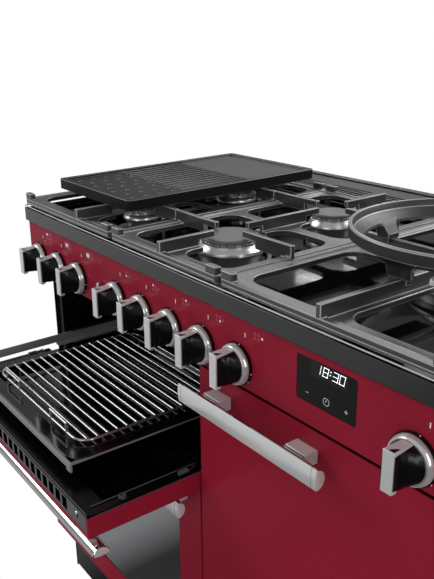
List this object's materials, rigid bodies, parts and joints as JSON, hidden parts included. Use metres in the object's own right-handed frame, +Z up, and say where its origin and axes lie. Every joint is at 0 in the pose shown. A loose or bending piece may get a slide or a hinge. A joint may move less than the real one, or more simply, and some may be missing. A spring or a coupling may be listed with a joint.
{
  "type": "dual fuel range cooker",
  "caption": "Free-standing range cooker with a gas hob, griddle, wok ring, drop-down grill and oven doors, a side-hinged tall oven, rotary controls and a clock.",
  "frame": {"origin": "on the floor, at the middle of the footprint in the rest pose, with the grill door down", "axes": "+X to the cooker's right hand side as seen by a person facing it, +Y from front to back, +Z up"},
  "size_m": [0.892, 0.768, 0.977],
  "materials": {
    "black_enamel": "black vitreous enamel, gloss",
    "black_iron": "dark matt enamelled cast iron",
    "brass_tap": "machined",
    "brushed": "brushed",
    "burner_alloy": "bright cast",
    "cap_grey": "mid grey enamel, satin",
    "carcass_paint": "dark grey paint",
    "ceramic": null,
    "chrome_bright": "polished",
    "clock_black": "black gloss",
    "dark_glass": "tinted, gloss",
    "heating_rod": "oxidised sheath",
    "knob_black": "black moulding with a polished metal bar",
    "red_enamel": "deep red gloss paint",
    "seal_rubber": "matt",
    "switch_plastic": "cream heat-proof moulding",
    "trim_dark": "charcoal satin",
    "zinc_steel": "plain zinc-coated sheet"
  },
  "bodies": {
    "cooker": {"chassis": "carcass_paint", "side_panels": "carcass_paint", "back_panel": "zinc_steel", "plinth": "black_enamel", "levelling_feet": "zinc_steel", "hob_tray": "black_enamel", "hob_trim": "trim_dark", "flue_vent": "black_enamel", "control_panel": "red_enamel", "clock_glass": "clock_black", "knob_bezels": "knob_black", "knob_rings": "chrome_bright", "gas_rail": "zinc_steel", "gas_taps": "brass_tap", "rotary_switches": "switch_plastic", "burner_bases": "burner_alloy", "burner_caps": "cap_grey", "spark_plugs": "ceramic", "grate_left": "black_iron", "grate_centre": "black_iron", "grate_right": "black_iron", "grill_cavity": "black_enamel", "main_cavity": "black_enamel", "tall_cavity": "black_enamel", "grill_element": "heating_rod", "grill_runners": "zinc_steel", "fan_baffles": "black_enamel", "fan_motors": "zinc_steel", "door_seals": "seal_rubber", "shelf_guides": "chrome_bright"},
    "griddle": {"griddle": "black_iron"},
    "wok_ring": {"wok_ring": "black_iron"},
    "light_button": {"light_button": "chrome_bright"},
    "knob_1": {"knob_1": "knob_black"},
    "knob_2": {"knob_2": "knob_black"},
    "knob_3": {"knob_3": "knob_black"},
    "knob_4": {"knob_4": "knob_black"},
    "knob_5": {"knob_5": "knob_black"},
    "knob_6": {"knob_6": "knob_black"},
    "knob_7": {"knob_7": "knob_black"},
    "knob_8": {"knob_8": "knob_black"},
    "knob_9": {"knob_9": "knob_black"},
    "grill_door": {"grill_door_skin": "red_enamel", "grill_door_liner": "black_enamel", "grill_handle": "chrome_bright"},
    "main_door": {"main_door_skin": "red_enamel", "main_door_glass": "dark_glass", "main_door_liner": "black_enamel", "main_handle": "chrome_bright"},
    "tall_door": {"tall_door_skin": "red_enamel", "tall_door_liner": "black_enamel", "tall_handle": "chrome_bright"},
    "grill_pan": {"grill_carriage": "brushed", "grill_pan": "black_enamel", "grill_rack": "chrome_bright"},
    "main_shelf": {"main_shelf": "chrome_bright"},
    "tall_shelf": {"tall_shelf": "chrome_bright"},
    "main_fan": {"main_fan": "zinc_steel"},
    "tall_fan": {"tall_fan": "zinc_steel"},
    "storage_drawer": {"storage_drawer": "black_enamel"}
  },
  "joints": [
    {"name": "knob_1_turn", "type": "hinge", "parent": "cooker", "child": "knob_1", "pos_m": [-0.406, -0.23, 0.82], "axis": [0, -1, 0], "range_deg": [0, 270]},
    {"name": "knob_2_turn", "type": "hinge", "parent": "cooker", "child": "knob_2", "pos_m": [-0.3345, -0.23, 0.82], "axis": [0, -1, 0], "range_deg": [0, 270]},
    {"name": "knob_3_turn", "type": "hinge", "parent": "cooker", "child": "knob_3", "pos_m": [-0.263, -0.23, 0.82], "axis": [0, -1, 0], "range_deg": [0, 270]},
    {"name": "knob_4_turn", "type": "hinge", "parent": "cooker", "child": "knob_4", "pos_m": [-0.142, -0.23, 0.82], "axis": [0, -1, 0], "range_deg": [0, 225]},
    {"name": "knob_5_turn", "type": "hinge", "parent": "cooker", "child": "knob_5", "pos_m": [-0.0705, -0.23, 0.82], "axis": [0, -1, 0], "range_deg": [0, 225]},
    {"name": "knob_6_turn", "type": "hinge", "parent": "cooker", "child": "knob_6", "pos_m": [0.001, -0.23, 0.82], "axis": [0, -1, 0], "range_deg": [0, 225]},
    {"name": "knob_7_turn", "type": "hinge", "parent": "cooker", "child": "knob_7", "pos_m": [0.0725, -0.23, 0.82], "axis": [0, -1, 0], "range_deg": [0, 225]},
    {"name": "knob_8_turn", "type": "hinge", "parent": "cooker", "child": "knob_8", "pos_m": [0.144, -0.23, 0.82], "axis": [0, -1, 0], "range_deg": [0, 225]},
    {"name": "knob_9_turn", "type": "hinge", "parent": "cooker", "child": "knob_9", "pos_m": [0.403, -0.23, 0.82], "axis": [0, -1, 0], "range_deg": [0, 270]},
    {"name": "light_button_press", "type": "slide", "parent": "cooker", "child": "light_button", "axis": [0, 1, 0], "range_m": [0, 0.002], "stiffness_N_per_m": 400},
    {"name": "griddle_lift", "type": "slide", "parent": "cooker", "child": "griddle", "axis": [0, 0, 1], "range_m": [0, 0.06]},
    {"name": "wok_ring_lift", "type": "slide", "parent": "cooker", "child": "wok_ring", "axis": [0, 0, 1], "range_m": [0, 0.06]},
    {"name": "grill_door_hinge", "type": "hinge", "parent": "cooker", "child": "grill_door", "pos_m": [-0.192, -0.2005, 0.6045], "axis": [-1, 0, 0], "range_deg": [0, 90]},
    {"name": "grill_pan_slide", "type": "slide", "parent": "cooker", "child": "grill_pan", "axis": [0, 1, 0], "range_m": [0, 0.33]},
    {"name": "main_door_hinge", "type": "hinge", "parent": "cooker", "child": "main_door", "pos_m": [-0.192, -0.2005, 0.2445], "axis": [1, 0, 0], "range_deg": [0, 90]},
    {"name": "main_shelf_slide", "type": "slide", "parent": "cooker", "child": "main_shelf", "axis": [0, -1, 0], "range_m": [0, 0.2]},
    {"name": "tall_door_hinge", "type": "hinge", "parent": "cooker", "child": "tall_door", "pos_m": [0.436, -0.2005, 0.5125], "axis": [0, 0, 1], "range_deg": [0, 100]},
    {"name": "tall_shelf_slide", "type": "slide", "parent": "cooker", "child": "tall_shelf", "axis": [0, -1, 0], "range_m": [0, 0.09]},
    {"name": "main_fan_spin", "type": "hinge", "parent": "cooker", "child": "main_fan", "pos_m": [-0.192, 0.255, 0.42], "axis": [0, 1, 0], "continuous": true},
    {"name": "tall_fan_spin", "type": "hinge", "parent": "cooker", "child": "tall_fan", "pos_m": [0.256, 0.255, 0.517], "axis": [0, 1, 0], "continuous": true},
    {"name": "storage_drawer_slide", "type": "slide", "parent": "cooker", "child": "storage_drawer", "axis": [0, -1, 0], "range_m": [0, 0.28]}
  ],
  "couplings": [
    {"joint": "grill_pan_slide", "follows": "grill_door_hinge", "m_per_rad": 0.21008},
    {"joint": "main_shelf_slide", "follows": "main_door_hinge", "m_per_rad": 0.12732},
    {"joint": "tall_shelf_slide", "follows": "tall_door_hinge", "m_per_rad": 0.051565}
  ]
}
